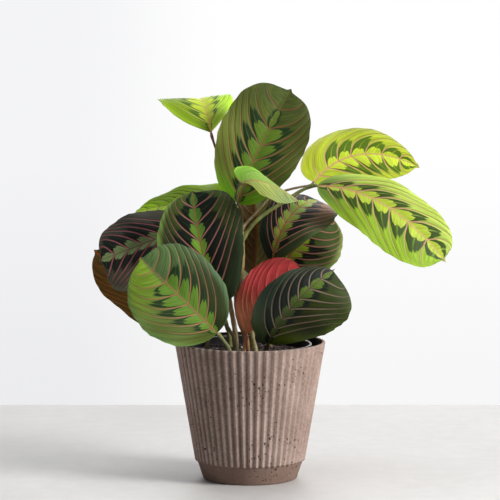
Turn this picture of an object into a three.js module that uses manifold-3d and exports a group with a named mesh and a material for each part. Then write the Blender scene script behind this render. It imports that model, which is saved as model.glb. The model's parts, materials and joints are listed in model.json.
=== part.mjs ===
// A potted prayer plant: waved oval leaves on thin stalks, standing in a nursery pot of soil
// inside a ribbed cover pot. Millimetres, +Z up, origin at the centre of the cover pot's underside.
import * as THREE from "three";
import { mergeVertices } from "three/addons/utils/BufferGeometryUtils.js";
import Module from "manifold-3d";

const wasm = await Module();
wasm.setup();

// ---- driving dimensions ----------------------------------------------------

const clearance = 0.3; // between pieces that touch

const cover = {
  height: 123.2,
  rimRadius: 67.5,
  ribEndRadius: 49.5, // where the ribs stop above the smooth foot
  ribEndHeight: 17.5,
  footRadius: 42.5,
  footEdge: 1.6, // rounding of the bottom edge
  wall: 3.4,
  floor: 6,
  floorRadius: 40, // inside
  ribs: 56,
  ribDepth: 1.7,
  rimRibDepth: 0.6,
  lip: 1, // rounding of the rim's edges
};

const nursery = {
  top: 121.4,
  rimRadius: 55.5,
  rimDepth: 9, // of the rolled rim
  bodyStep: 1.8, // how far the body is drawn in below the rim
  bottomRadius: 37,
  edge: 1, // rounding
  wall: 1.4,
  floor: 1.6,
  sides: 48,
};

const soil = {
  top: 113.5,
  mound: 2.4, // higher in the middle
  crumb: 0.9, // height of the crumbs raised from the surface
  ringRadii: [0.97, 0.8, 0.6, 0.4, 0.2], // shares of the soil's radius
};

const socket = { bottom: 98, clearance: 0.8, sides: 8 }; // hole in the soil round each stalk

const blade = {
  thickness: 0.7,
  rows: 12, // along the midrib
  columns: 6, // across both halves
  endHalfWidth: 0.8, // at the stalk and at the tip
};

const stalk = {
  sides: 6,
  step: 11, // length of one straight piece
  tipRadius: 1.05, // where it meets the leaf
  lead: 4, // straight run in line with the leaf's midrib
  gap: 0.5, // to the leaf's rounded base
  knee: 1.3, // swelling just below the leaf
};

const palette = {
  lime: 0x9dc13a,
  green: 0x4f7a33,
  dark: 0x2c4a30,
  crimson: 0xb23a3f,
  olive: 0x6b5a22,
  stalk: 0x7d8a45,
  concrete: 0x9d8378,
  plastic: 0x1c1c1e,
  peat: 0x2b211b,
};

// ---- solids ----------------------------------------------------------------

function meshFromGrid(points, triangles) {
  const geometry = new THREE.BufferGeometry();
  const coordinates = points.flatMap((point) => point.toArray());
  geometry.setAttribute("position", new THREE.Float32BufferAttribute(coordinates, 3));
  geometry.setIndex(triangles.flat());
  return geometry;
}

function solidFrom(geometry) {
  const bare = geometry.clone();
  bare.deleteAttribute("normal");
  bare.deleteAttribute("uv");
  const merged = mergeVertices(bare, 1e-4);
  const vertProperties = merged.attributes.position.array;
  const triVerts = new Uint32Array(merged.index.array);
  return new wasm.Manifold(new wasm.Mesh({ numProp: 3, vertProperties, triVerts }));
}

function geometryFrom(solid) {
  const mesh = solid.getMesh();
  const geometry = new THREE.BufferGeometry();
  geometry.setAttribute("position", new THREE.BufferAttribute(mesh.vertProperties, 3));
  geometry.setIndex(new THREE.BufferAttribute(mesh.triVerts, 1));
  return geometry;
}

// Joins ring after ring of points into one closed body, outward faces on the ring's right-hand side.
function ringedBody(rings, firstCentre, lastCentre) {
  const sides = rings[0].length;
  const points = rings.flat();
  const triangles = [];
  for (let r = 0; r + 1 < rings.length; r++) {
    for (let i = 0; i < sides; i++) {
      const a = r * sides + i;
      const b = r * sides + ((i + 1) % sides);
      triangles.push([a, b, b + sides], [a, b + sides, a + sides]);
    }
  }
  const first = points.push(firstCentre) - 1;
  const last = points.push(lastCentre) - 1;
  const lastRing = (rings.length - 1) * sides;
  for (let i = 0; i < sides; i++) {
    const j = (i + 1) % sides;
    triangles.push([first, j, i], [last, lastRing + i, lastRing + j]);
  }
  return meshFromGrid(points, triangles);
}

// A turned body: its rings run from the axis underneath, up the outside, over the rim and down
// the inside. A groove draws in every other point of a ring, and relief raises the surface.
function turnedBody(profile, sides, relief = () => 0) {
  const rings = profile.map((ring) => {
    const points = [];
    for (let i = 0; i < sides; i++) {
      const angle = (2 * Math.PI * i) / sides;
      const radius = ring.radius - (i % 2 ? ring.groove ?? 0 : 0);
      const x = radius * Math.cos(angle);
      const y = radius * Math.sin(angle);
      points.push(new THREE.Vector3(x, y, ring.height + (ring.relief ? relief(x, y) : 0)));
    }
    return points;
  });
  const end = profile.at(-1);
  const endHeight = end.height + (end.relief ? relief(0, 0) : 0);
  return ringedBody(rings, new THREE.Vector3(0, 0, profile[0].height), new THREE.Vector3(0, 0, endHeight));
}

// A round stalk along the route, its radius running evenly from start to end, with a knee
// that swells its last ring but one.
function stalkSolid(route, startRadius, endRadius, knee) {
  const curve = new THREE.CatmullRomCurve3(route, false, "centripetal");
  const steps = Math.max(3, Math.round(curve.getLength() / stalk.step));
  const centres = curve.getSpacedPoints(steps);
  const frames = curve.computeFrenetFrames(steps, false);
  const rings = centres.map((centre, k) => {
    const even = startRadius + ((endRadius - startRadius) * k) / steps;
    const radius = k === steps - 1 ? even * knee : even;
    const points = [];
    for (let i = 0; i < stalk.sides; i++) {
      const angle = (2 * Math.PI * i) / stalk.sides;
      const point = centre.clone().addScaledVector(frames.normals[k], radius * Math.cos(angle));
      points.push(point.addScaledVector(frames.binormals[k], radius * Math.sin(angle)));
    }
    return points;
  });
  return solidFrom(ringedBody(rings, centres[0], centres[steps]));
}

// ---- leaves ----------------------------------------------------------------

const leafDefaults = {
  twist: 0, // degrees that the blade turns from its base to its tip
  fold: [8, 8], // degrees that each half rises from the midrib, left and right
  curl: [-14, -14], // degrees that each half bends further, out to its margin
  wave: 1.6, // height of the margin's waves
  waves: 2.5, // waves along each margin
  baseFullness: [0.5, 0.5], // of each half, lower is blunter
  tipFullness: [0.42, 0.42],
  lobe: [0.15, 0.15], // how far each margin reaches back past the stalk, as a share of its reach
  colour: "green",
};

const cuspStart = 0.975; // where the blunt blade ends and its small point begins
const cuspHalfWidth = 0.09; // of the point's root, as a share of the widest half width

// Half width of a blade as a share of its widest, s running from the stalk to the tip.
function outline(s, leaf, side) {
  const a = leaf.baseFullness[side];
  const b = leaf.tipFullness[side];
  const widest = a / (a + b);
  const peak = widest ** a * (1 - widest) ** b;
  const blunt = Math.min(s / cuspStart, 1);
  const cusp = s > 0.5 ? cuspHalfWidth * Math.min((1 - s) / (1 - cuspStart), 1) : 0;
  return Math.max((blunt ** a * (1 - blunt) ** b) / peak, cusp);
}

function midrib(leaf, s) {
  const [base, middle, tip] = leaf.line;
  const point = new THREE.Vector3();
  point.addScaledVector(base, (1 - s) * (1 - 2 * s));
  point.addScaledVector(middle, 4 * s * (1 - s));
  return point.addScaledVector(tip, s * (2 * s - 1));
}

function midribDirection(leaf, s) {
  const [base, middle, tip] = leaf.line;
  const direction = new THREE.Vector3();
  direction.addScaledVector(base, 4 * s - 3);
  direction.addScaledVector(middle, 4 - 8 * s);
  return direction.addScaledVector(tip, 4 * s - 1).normalize();
}

// A point of the blade's middle surface: v runs from -1 at the left margin to 1 at the right one,
// seen from above with the tip pointing up.
function bladePoint(leaf, s, v) {
  const along = midribDirection(leaf, s);
  const up = leaf.face.clone().addScaledVector(along, -leaf.face.dot(along)).normalize();
  up.applyAxisAngle(along, THREE.MathUtils.degToRad(leaf.twist) * (s - 0.5));
  const right = along.clone().cross(up);
  const side = v < 0 ? 0 : 1;
  const share = outline(s, leaf, side);
  const reach = Math.max(leaf.half[side] * share, blade.endHalfWidth) * Math.abs(v);
  const fold = THREE.MathUtils.degToRad(leaf.fold[side]);
  const bend = THREE.MathUtils.degToRad(leaf.curl[side]) / leaf.half[side];
  const turned = fold + bend * reach;
  const across = (Math.sin(turned) - Math.sin(fold)) / bend;
  const rise = (Math.cos(fold) - Math.cos(turned)) / bend;
  const ripple = leaf.wave * Math.sin(2 * Math.PI * (leaf.waves * s + leaf.phase[side])) * share * v * v;
  const back = leaf.lobe[side] * reach * Math.abs(v) * (1 - s) ** 3;
  const point = midrib(leaf, s).addScaledVector(right, Math.sign(v) * across);
  return point.addScaledVector(up, rise + ripple).addScaledVector(along, -back);
}

function bladeNormal(leaf, s, v) {
  const step = 0.01;
  const inside = Math.min(Math.max(s, 2 * step), 1 - 2 * step);
  const along = bladePoint(leaf, inside + step, v).sub(bladePoint(leaf, inside - step, v));
  const across = bladePoint(leaf, inside, v + step).sub(bladePoint(leaf, inside, v - step));
  return across.cross(along).normalize();
}

// Both faces are split alike, so that the thin blade never crosses itself.
function bladeGeometry(leaf) {
  const { rows, columns, thickness } = blade;
  const points = [];
  const triangles = [];
  for (const side of [1, -1]) {
    for (let r = 0; r <= rows; r++) {
      const s = (1 - Math.cos((Math.PI * r) / rows)) / 2;
      for (let c = 0; c <= columns; c++) {
        const v = Math.sin((Math.PI / 2) * ((2 * c) / columns - 1));
        const offset = bladeNormal(leaf, s, v).multiplyScalar((side * thickness) / 2);
        points.push(bladePoint(leaf, s, v).add(offset));
      }
    }
  }
  const width = columns + 1;
  const under = (rows + 1) * width;
  for (let r = 0; r < rows; r++) {
    for (let c = 0; c < columns; c++) {
      const a = r * width + c;
      const b = a + width;
      triangles.push([a, a + 1, b + 1], [a, b + 1, b]);
      triangles.push([under + a, under + b + 1, under + a + 1], [under + a, under + b, under + b + 1]);
    }
  }
  const margin = [];
  for (let c = 0; c < columns; c++) margin.push(c);
  for (let r = 0; r < rows; r++) margin.push(r * width + columns);
  for (let c = columns; c > 0; c--) margin.push(rows * width + c);
  for (let r = rows; r > 0; r--) margin.push(r * width);
  margin.forEach((a, k) => {
    const b = margin[(k + 1) % margin.length];
    triangles.push([a, under + a, under + b], [a, under + b, b]);
  });
  return meshFromGrid(points, triangles);
}

// Each leaf: its midrib's base, middle and tip, the way its upper face looks, its half widths,
// and what differs from the defaults. The left half is on the left seen from above, tip up.
const leafTable = {
  top: {
    line: [[-11, 22, 245], [7, 17, 292], [37, 32, 347]], face: [-0.05, -1, 0.2], half: [41, 38],
    baseFullness: [0.62, 0.6], tipFullness: [0.32, 0.36],
  },
  upper_left: {
    line: [[-35, 36, 308], [-44, 62, 336], [-53, 92, 322]], face: [-0.1, -0.4, 0.9], half: [42, 29],
    fold: [14, -6], curl: [2, -8], baseFullness: [0.9, 1], tipFullness: [1, 0.9], colour: "lime",
  },
  right_upper: {
    line: [[57, 22, 264], [99, 34, 288], [152, 24, 277]], face: [0.1, -0.85, 0.5], half: [28, 31],
    baseFullness: [0.42, 0.4], tipFullness: [0.75, 0.42], lobe: [0.3, 0.2], colour: "lime",
  },
  right_lower: {
    line: [[60, -6, 263], [118, -26, 248], [172, -34, 198]], face: [0.15, -0.8, 0.55], half: [26, 35],
    baseFullness: [0.7, 0.6], tipFullness: [0.3, 0.34], fold: [14, -4], colour: "lime",
  },
  young: {
    line: [[-7, -42, 268], [13, -42, 269], [43, -34, 251]], face: [0.2, -0.5, 0.85], half: [16, 14],
    twist: -50, lobe: [0.15, 0], fold: [20, -30], baseFullness: [0.2, 1.6], tipFullness: [2, 0.7],
    wave: 0.8, colour: "lime",
  },
  left: {
    line: [[-28, -22, 158], [-43, -30, 211], [-51, -12, 259]], face: [-0.15, -0.95, 0.25], half: [38, 40],
    tipFullness: [0.45, 0.24], colour: "dark",
  },
  far_left: {
    line: [[-56, 10, 226], [-92, -2, 212], [-134, -4, 196]], face: [-0.3, -0.88, 0.35], half: [39, 31],
    tipFullness: [0.18, 0.34], colour: "dark",
  },
  front_left: {
    line: [[-29, -40, 136], [-60, -62, 170], [-96, -54, 204]], face: [-0.25, -0.85, 0.45], half: [43, 39],
    baseFullness: [0.62, 0.45], tipFullness: [0.48, 0.33], lobe: [0, 0.15],
  },
  back_left: {
    line: [[-33, 36, 244], [-68, 49, 242], [-104, 53, 234]], face: [-0.1, -0.5, 0.85], half: [32, 29],
    baseFullness: [0.5, 0.2], tipFullness: [0.42, 0.8], colour: "lime",
  },
  low_left: {
    line: [[-43, 14, 140], [-94, 14, 166], [-140, 22, 203]], face: [-0.1, 0.75, 0.65], half: [36, 36],
    colour: "olive",
  },
  centre_right: {
    line: [[20, 0, 195], [35, 2, 234], [61, 30, 247]], face: [-0.15, -0.6, 0.8], half: [26, 39],
    baseFullness: [0.6, 0.8], tipFullness: [0.42, 0.36], colour: "dark",
  },
  inner_right: {
    line: [[28, 14, 190], [48, 20, 213], [69, 33, 237]], face: [0.1, -1, 0.2], half: [19, 36],
    colour: "dark",
  },
  rolled: {
    line: [[-3, -28, 133], [12, -27, 167], [47, -20, 191]], face: [0, 1, 0], half: [20, 24],
    baseFullness: [0.8, 0.85], tipFullness: [0.42, 0.5], curl: [20, 30], fold: [0, 0], colour: "crimson",
  },
  front_right: {
    line: [[16, -38, 126], [40, -58, 165], [74, -46, 193]], face: [0.2, -0.85, 0.35], half: [29, 42],
    baseFullness: [0.5, 0.65], tipFullness: [0.75, 0.26], lobe: [0, 0], colour: "dark",
  },
  inner: {
    line: [[4, 24, 180], [6, 37, 216], [4, 44, 256]], face: [0, 1, 0.1], half: [19, 21],
    tipFullness: [0.34, 0.34], colour: "olive",
  },
  back_top: {
    line: [[14, 48, 212], [14, 72, 238], [16, 94, 256]], face: [0.2, 0.75, 0.65], half: [28, 28],
  },
  back_left_low: {
    line: [[-36, 38, 152], [-68, 66, 180], [-86, 90, 196]], face: [-0.4, 0.5, 0.7], half: [36, 36],
  },
  back_right_low: {
    line: [[24, 42, 147], [43, 74, 159], [56, 101, 155]], face: [0.3, 0.6, 0.7], half: [35, 35],
    colour: "dark",
  },
  back_middle: {
    line: [[0, 52, 160], [-4, 86, 180], [-4, 112, 186]], face: [-0.1, 0.5, 0.85], half: [34, 34],
    colour: "dark",
  },
  back_left_high: {
    line: [[-34, 40, 196], [-58, 64, 216], [-76, 84, 218]], face: [-0.4, 0.4, 0.8], half: [31, 31],
  },
  back_right_high: {
    line: [[28, 40, 188], [53, 62, 204], [75, 78, 204]], face: [0.4, 0.45, 0.8], half: [30, 30],
  },
};

const leaves = {};
Object.entries(leafTable).forEach(([name, given], index) => {
  leaves[name] = {
    ...leafDefaults,
    ...given,
    line: given.line.map((point) => new THREE.Vector3(...point)),
    face: new THREE.Vector3(...given.face).normalize(),
    phase: [(index * 0.37) % 1, (index * 0.61 + 0.2) % 1],
  };
});

// ---- stalks ----------------------------------------------------------------

// Each shoot is one piece of fused stalks. A rooted stalk starts in its hole in the soil, and the
// others start inside an earlier one. A stalk with a leaf ends just short of that leaf's base.
const shootTable = {
  tall: [
    { rooted: true, route: [[-3, -10], [-4, -10, 128], [-10, -12, 146], [-12, -11, 165], [-7, -8, 193],
      [-7, -6, 213], [-8, -5, 226]], radii: [2.8, 2.2] },
    { leaf: "right_lower", route: [[-7, -6, 214], [-3, -5, 221], [5, -5, 231], [18, -4, 241], [28, -3, 247],
      [45, -2, 258]], radii: [2] },
    { leaf: "right_upper", route: [[-8, -5, 222], [-3, 0, 229], [4, 4, 236], [11, 7, 244], [19, 11, 252],
      [32, 15, 257], [46, 19, 260]], radii: [1.4] },
    { leaf: "young", route: [[-8, -6, 223], [-7, -14, 233], [-8, -25, 243], [-11, -36, 250],
      [-12, -41, 257]], radii: [1.2] },
    { leaf: "top", route: [[-8, -4, 222], [-9, 4, 230]], radii: [1.5] },
    { leaf: "upper_left", route: [[-8, -5, 216], [-13, 14, 228], [-20, 34, 250], [-30, 38, 290]],
      radii: [1.5] },
  ],
  left: [
    { rooted: true, route: [[-13, -2], [-13, -2, 129], [-17, 1, 153], [-21, 4, 175], [-26, 8, 192]],
      radii: [2.6, 1.9] },
    { leaf: "far_left", route: [[-25, 7, 188], [-38, 13, 212]], radii: [1.5] },
    { leaf: "back_left", route: [[-26, 8, 190], [-27, 18, 215], [-25, 28, 236]], radii: [1.5] },
  ],
  front_left: [
    { rooted: true, leaf: "front_left", route: [[-18, -29], [-18, -30, 119]], radii: [1.9] },
  ],
  middle_left: [
    { rooted: true, leaf: "left", route: [[-12, -19], [-14, -19, 128], [-21, -21, 141]], radii: [1.8] },
  ],
  low_left: [
    { rooted: true, leaf: "low_left", route: [[-38, 8], [-38, 9, 122]], radii: [1.7] },
  ],
  inner: [
    { rooted: true, leaf: "centre_right", route: [[5, -17], [2, -16, 133], [5, -11, 158], [11, -7, 178]],
      radii: [2.1] },
    { leaf: "inner_right", route: [[4, -12, 152], [14, -4, 168], [24, 2, 180]], radii: [1.5] },
  ],
  rolled: [
    { rooted: true, leaf: "rolled", route: [[-5, -28], [-5, -28, 120]], radii: [1.6] },
  ],
  front_right: [
    { rooted: true, leaf: "front_right", route: [[14, -33], [14, -33, 117]], radii: [1.7] },
  ],
  back_middle: [
    { rooted: true, route: [[2, 14], [2, 15, 130], [2, 18, 148]], radii: [2.6, 2.1] },
    { leaf: "inner", route: [[2, 17, 144], [3, 19, 162]], radii: [1.5] },
    { leaf: "back_middle", route: [[2, 16, 138], [1, 34, 150]], radii: [1.5] },
    { leaf: "back_top", route: [[2, 17, 144], [8, 30, 166], [15, 42, 196]], radii: [1.6] },
  ],
  back_left: [
    { rooted: true, leaf: "back_left_low", route: [[-18, 18], [-19, 19, 128], [-26, 28, 142]],
      radii: [2.1] },
    { leaf: "back_left_high", route: [[-20, 20, 131], [-26, 28, 156], [-30, 34, 180]], radii: [1.6] },
  ],
  back_right: [
    { rooted: true, leaf: "back_right_low", route: [[18, 18], [18, 20, 128]], radii: [2.1] },
    { leaf: "back_right_high", route: [[18, 20, 126], [21, 26, 150], [24, 33, 174]], radii: [1.6] },
  ],
};

const socketFoot = socket.bottom + clearance;

function shootSolid(stalks) {
  let shoot = null;
  for (const { rooted, leaf, route, radii } of stalks) {
    const points = route.map(([x, y, z]) => new THREE.Vector3(x, y, z ?? socketFoot));
    if (rooted) points.splice(1, 0, new THREE.Vector3(points[0].x, points[0].y, soil.top + soil.mound));
    if (leaf) {
      const base = midrib(leaves[leaf], 0);
      const direction = midribDirection(leaves[leaf], 0);
      points.push(base.clone().addScaledVector(direction, -stalk.lead));
      points.push(base.clone().addScaledVector(direction, -stalk.gap));
    }
    const endRadius = leaf ? stalk.tipRadius : radii[1];
    const piece = stalkSolid(points, radii[0], endRadius, leaf ? stalk.knee : 1);
    shoot = shoot ? shoot.add(piece) : piece;
  }
  return shoot;
}

// ---- pots and soil -----------------------------------------------------------

function coverRadius(height) {
  const share = (height - cover.ribEndHeight) / (cover.height - cover.ribEndHeight);
  return cover.ribEndRadius + (cover.rimRadius - cover.ribEndRadius) * share;
}

function coverGeometry() {
  const innerRim = cover.rimRadius - cover.wall;
  const lipHeight = cover.height - cover.lip;
  const footTop = cover.ribEndHeight - cover.ribDepth;
  return turnedBody([
    { radius: cover.footRadius - cover.footEdge, height: 0 },
    { radius: cover.footRadius, height: cover.footEdge },
    { radius: cover.ribEndRadius - cover.ribDepth, height: footTop },
    { radius: cover.ribEndRadius, height: cover.ribEndHeight, groove: cover.ribDepth },
    { radius: coverRadius(lipHeight), height: lipHeight, groove: cover.ribDepth },
    { radius: cover.rimRadius - cover.lip, height: cover.height, groove: cover.rimRibDepth },
    { radius: innerRim + cover.lip, height: cover.height },
    { radius: innerRim, height: lipHeight },
    { radius: cover.floorRadius, height: cover.floor },
  ], 2 * cover.ribs);
}

const nurseryBottom = cover.floor + clearance;
const nurseryFloor = nurseryBottom + nursery.floor;
const rimBottom = nursery.top - nursery.rimDepth;
const bodyTopRadius = nursery.rimRadius - nursery.bodyStep;

function nurseryGeometry() {
  const { rimRadius, bottomRadius, edge, wall, top } = nursery;
  return turnedBody([
    { radius: bottomRadius - edge, height: nurseryBottom },
    { radius: bottomRadius, height: nurseryBottom + edge },
    { radius: bodyTopRadius, height: rimBottom },
    { radius: rimRadius - edge, height: rimBottom + edge },
    { radius: rimRadius, height: top - edge },
    { radius: rimRadius - edge, height: top },
    { radius: rimRadius - edge - wall, height: top },
    { radius: bodyTopRadius - wall, height: rimBottom },
    { radius: bottomRadius - wall, height: nurseryFloor },
  ], nursery.sides);
}

function crumbs(x, y) {
  const reach = Math.hypot(x, y) / bodyTopRadius;
  const rough = Math.sin(x * 0.71 + 1.3) * Math.cos(y * 0.83) + Math.sin(x * 0.29 - y * 0.37);
  return soil.mound * (1 - reach ** 2) + soil.crumb * rough;
}

function soilSolid() {
  const bottom = nurseryFloor + clearance;
  const edgeHeight = rimBottom - soil.crumb;
  const lowRadius = nursery.bottomRadius - nursery.wall;
  const highRadius = bodyTopRadius - nursery.wall;
  const share = (edgeHeight - nurseryFloor) / (rimBottom - nurseryFloor);
  const topRadius = lowRadius + (highRadius - lowRadius) * share - clearance;
  const body = turnedBody([
    { radius: lowRadius - clearance, height: bottom },
    { radius: topRadius, height: edgeHeight },
    ...soil.ringRadii.map((share) => ({ radius: topRadius * share, height: soil.top, relief: true })),
  ], nursery.sides, crumbs);
  let ground = solidFrom(body);
  for (const [first] of Object.values(shootTable)) {
    const [x, y] = first.route[0];
    const depth = nursery.top - socket.bottom;
    const hole = new THREE.CylinderGeometry(1, 1, depth, socket.sides).rotateX(Math.PI / 2);
    const radius = first.radii[0] + socket.clearance;
    hole.scale(radius, radius, 1).translate(x, y, socket.bottom + depth / 2);
    ground = ground.subtract(solidFrom(hole));
  }
  return ground;
}

// ---- assembly ----------------------------------------------------------------

const plant = new THREE.Group();

function addPiece(name, geometry, colour, roughness) {
  const flat = geometry.index ? geometry.toNonIndexed() : geometry;
  flat.computeVertexNormals();
  const material = new THREE.MeshStandardMaterial({ color: palette[colour], roughness, metalness: 0 });
  const mesh = new THREE.Mesh(flat, material);
  mesh.name = name;
  plant.add(mesh);
}

addPiece("cover_pot", coverGeometry(), "concrete", 0.85);
addPiece("nursery_pot", nurseryGeometry(), "plastic", 0.3);
addPiece("soil", geometryFrom(soilSolid()), "peat", 0.95);
for (const [name, stalks] of Object.entries(shootTable)) {
  addPiece(`shoot_${name}`, geometryFrom(shootSolid(stalks)), "stalk", 0.5);
}
for (const [name, leaf] of Object.entries(leaves)) {
  addPiece(`leaf_${name}`, bladeGeometry(leaf), leaf.colour, 0.5);
}

export default plant;
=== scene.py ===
import json
import math
import random

import bpy
import numpy as np
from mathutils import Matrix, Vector, kdtree, noise


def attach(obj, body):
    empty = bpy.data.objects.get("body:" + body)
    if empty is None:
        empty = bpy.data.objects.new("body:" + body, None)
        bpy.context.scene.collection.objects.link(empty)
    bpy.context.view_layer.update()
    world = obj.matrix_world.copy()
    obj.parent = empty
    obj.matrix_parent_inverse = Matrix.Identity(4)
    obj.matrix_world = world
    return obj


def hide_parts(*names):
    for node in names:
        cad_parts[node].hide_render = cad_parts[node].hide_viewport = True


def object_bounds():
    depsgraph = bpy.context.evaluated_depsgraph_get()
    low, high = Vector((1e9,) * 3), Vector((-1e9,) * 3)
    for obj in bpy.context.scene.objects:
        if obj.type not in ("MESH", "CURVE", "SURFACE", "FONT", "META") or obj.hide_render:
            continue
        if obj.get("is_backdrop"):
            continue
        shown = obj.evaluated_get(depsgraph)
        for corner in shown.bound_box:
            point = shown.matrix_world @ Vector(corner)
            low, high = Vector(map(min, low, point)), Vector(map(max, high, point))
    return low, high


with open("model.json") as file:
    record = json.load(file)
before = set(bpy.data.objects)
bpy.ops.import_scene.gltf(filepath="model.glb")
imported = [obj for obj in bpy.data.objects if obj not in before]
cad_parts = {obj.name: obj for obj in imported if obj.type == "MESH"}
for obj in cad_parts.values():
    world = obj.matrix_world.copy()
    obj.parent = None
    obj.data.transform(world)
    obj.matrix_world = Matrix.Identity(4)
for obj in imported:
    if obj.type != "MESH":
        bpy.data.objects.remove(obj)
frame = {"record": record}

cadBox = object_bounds()
slotOf = {part["node"]: part["material_slot"] for part in frame["record"]["subparts"]}


# A prayer plant in its nursery pot and ribbed cover pot. Tables are in millimetres, Blender in metres.
class Wire:  # one socket of a node tree, which takes part in plain Python maths
    def __init__(self, tree, socket=None):
        self.tree = tree
        self.socket = socket

    def node(self, kind, settings=None, sockets=None, output=0):
        made = self.tree.nodes.new(kind)
        for key, value in (settings or {}).items():
            setattr(made, key, value)
        for key, value in (sockets or {}).items():
            if isinstance(value, Wire):
                self.tree.links.new(value.socket, made.inputs[key])
            else:
                made.inputs[key].default_value = value
        return Wire(self.tree, made.outputs[output] if len(made.outputs) else None)

    def pair(self, operation, first, second):
        return self.node("ShaderNodeMath", {"operation": operation}, {0: first, 1: second})

    def only(self, operation):
        return self.node("ShaderNodeMath", {"operation": operation}, {0: self})

    def __add__(self, other): return self.pair("ADD", self, other)
    def __radd__(self, other): return self.pair("ADD", other, self)
    def __sub__(self, other): return self.pair("SUBTRACT", self, other)
    def __rsub__(self, other): return self.pair("SUBTRACT", other, self)
    def __mul__(self, other): return self.pair("MULTIPLY", self, other)
    def __rmul__(self, other): return self.pair("MULTIPLY", other, self)
    def __truediv__(self, other): return self.pair("DIVIDE", self, other)
    def __rtruediv__(self, other): return self.pair("DIVIDE", other, self)
    def __pow__(self, other): return self.pair("POWER", self, other)
    def __abs__(self): return self.only("ABSOLUTE")

    def smallest(self, other): return self.pair("MINIMUM", self, other)
    def largest(self, other): return self.pair("MAXIMUM", self, other)

    def step(self, low, high):  # 0 below low and 1 above high, the other way round where low is higher
        return self.node("ShaderNodeMapRange", {"interpolation_type": "SMOOTHSTEP"},
                         {"Value": self, "From Min": low, "From Max": high})

    def blend(self, low, high):  # colours or their codes, by this value as the mask
        low, high = [paint(colour) if isinstance(colour, str) else colour for colour in (low, high)]
        return self.node("ShaderNodeMix", {"data_type": "RGBA"}, {0: self, 6: low, 7: high}, 2)

    def times(self, value):  # a brighter or darker colour
        return self.node("ShaderNodeVectorMath", {"operation": "SCALE"}, {0: self, "Scale": value})

    def place(self):  # where a point lies in its piece, in metres
        return self.node("ShaderNodeTexCoord", None, None, 3)

    def parts(self):
        return [self.node("ShaderNodeSeparateXYZ", None, {0: self}, k) for k in range(3)]

    def joined(self, x, y, z):
        return self.node("ShaderNodeCombineXYZ", None, {0: x, 1: y, 2: z})

    def clouds(self, vector, scale, detail=3.0, roughness=0.5):
        return self.node("ShaderNodeTexNoise", None,
                         {"Vector": vector, "Scale": scale, "Detail": detail, "Roughness": roughness})

    def attribute(self, name, output=1):
        return self.node("ShaderNodeAttribute", {"attribute_name": name}, None, output)


def paint(code):  # a colour as a screen shows it, such as "9dc13a", as Blender's linear values
    shown = [int(code[i:i + 2], 16) / 255 for i in (0, 2, 4)]
    return (*[c / 12.92 if c <= 0.04045 else ((c + 0.055) / 1.055) ** 2.4 for c in shown], 1.0)


def addObject(name, data):
    made = bpy.data.objects.new(name, data)
    bpy.context.scene.collection.objects.link(made)
    return made


def newMaterial(name):
    material = bpy.data.materials.new(name)
    material.use_nodes = True
    material.node_tree.nodes.clear()
    return material, Wire(material.node_tree)


def finishMaterial(start, colour, roughness, height=None, depth=0.0004, fixed=None):
    sockets = {"Base Color": colour, "Roughness": roughness, **(fixed or {})}
    if height is not None:
        bump = {"Strength": 1.0, "Distance": depth, "Height": height}
        sockets["Normal"] = start.node("ShaderNodeBump", None, bump)
    shader = start.node("ShaderNodeBsdfPrincipled", None, sockets)
    start.node("ShaderNodeOutputMaterial", {"is_active_output": True}, {"Surface": shader}, 0)


def addPiece(name, points, faces, materials, slot, standsFor=(), faceMaterials=None, sharpAngle=None):
    mesh = bpy.data.meshes.new(name)
    mesh.from_pydata((np.asarray(points) / 1000).tolist(), [], faces)
    mesh.shade_smooth()
    if sharpAngle:
        mesh.set_sharp_from_angle(angle=math.radians(sharpAngle))
    for material in materials:
        mesh.materials.append(material)
    if faceMaterials is not None:
        mesh.polygons.foreach_set("material_index", faceMaterials)
    piece = addObject(name, mesh)
    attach(piece, "root")
    if standsFor:
        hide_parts(*standsFor)
    return piece


def giveVectors(piece, name, values, where="POINT"):
    layer = piece.data.attributes.new(name, "FLOAT_VECTOR", where)
    layer.data.foreach_set("vector", np.asarray(values, np.float32).ravel())


def gridFaces(rows, columns, closed, start=0, flip=False):
    faces = []
    for r in range(rows - 1):
        for c in range(columns if closed else columns - 1):
            a = start + r * columns + c
            b = start + r * columns + (c + 1) % columns
            faces.append((a, a + columns, b + columns, b) if flip else (a, b, b + columns, a + columns))
    return faces


def ease(value, low, high):
    share = np.clip((value - low) / (high - low), 0, 1)
    return share * share * (3 - 2 * share)


def cappedFaces(rows, sides, flip=False):  # a closed sweep and the fans to the two points that follow it
    faces = gridFaces(rows, sides, True, 0, flip)
    centre, last = rows * sides, (rows - 1) * sides
    for i in range(sides):
        j = (i + 1) % sides
        fans = [(centre, j, i), (centre + 1, last + i, last + j)]
        faces += [face[::-1] for face in fans] if flip else fans
    return faces


def spun(outline, sides):  # an outline of radius and height, turned round the upright axis
    angle = np.arange(sides) * 2 * math.pi / sides
    rings = [[r * np.cos(angle), r * np.sin(angle), np.broadcast_to(h, angle.shape)] for r, h in outline]
    return np.array(rings).transpose(0, 2, 1).reshape(-1, 3)


def grain(points, size, seed=0.0):  # smooth noise of about -1 to 1 over an array of points
    return np.array([noise.noise(Vector(p) / size + Vector((seed, seed * 1.7, seed * 0.6))) for p in points])


# Camera, light and stage.
view = {"place": (0.0, -2.5764, 0.4727), "downDegrees": 5.93, "lens": 209.4}
camera = addObject("camera", bpy.data.cameras.new("camera"))
camera.data.lens = view["lens"]
camera.data.sensor_width = 36.0
camera.location = view["place"]
camera.rotation_euler = (math.radians(90 - view["downDegrees"]), 0, 0)
bpy.context.scene.camera = camera
bpy.context.scene.view_settings.view_transform = "Standard"

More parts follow.
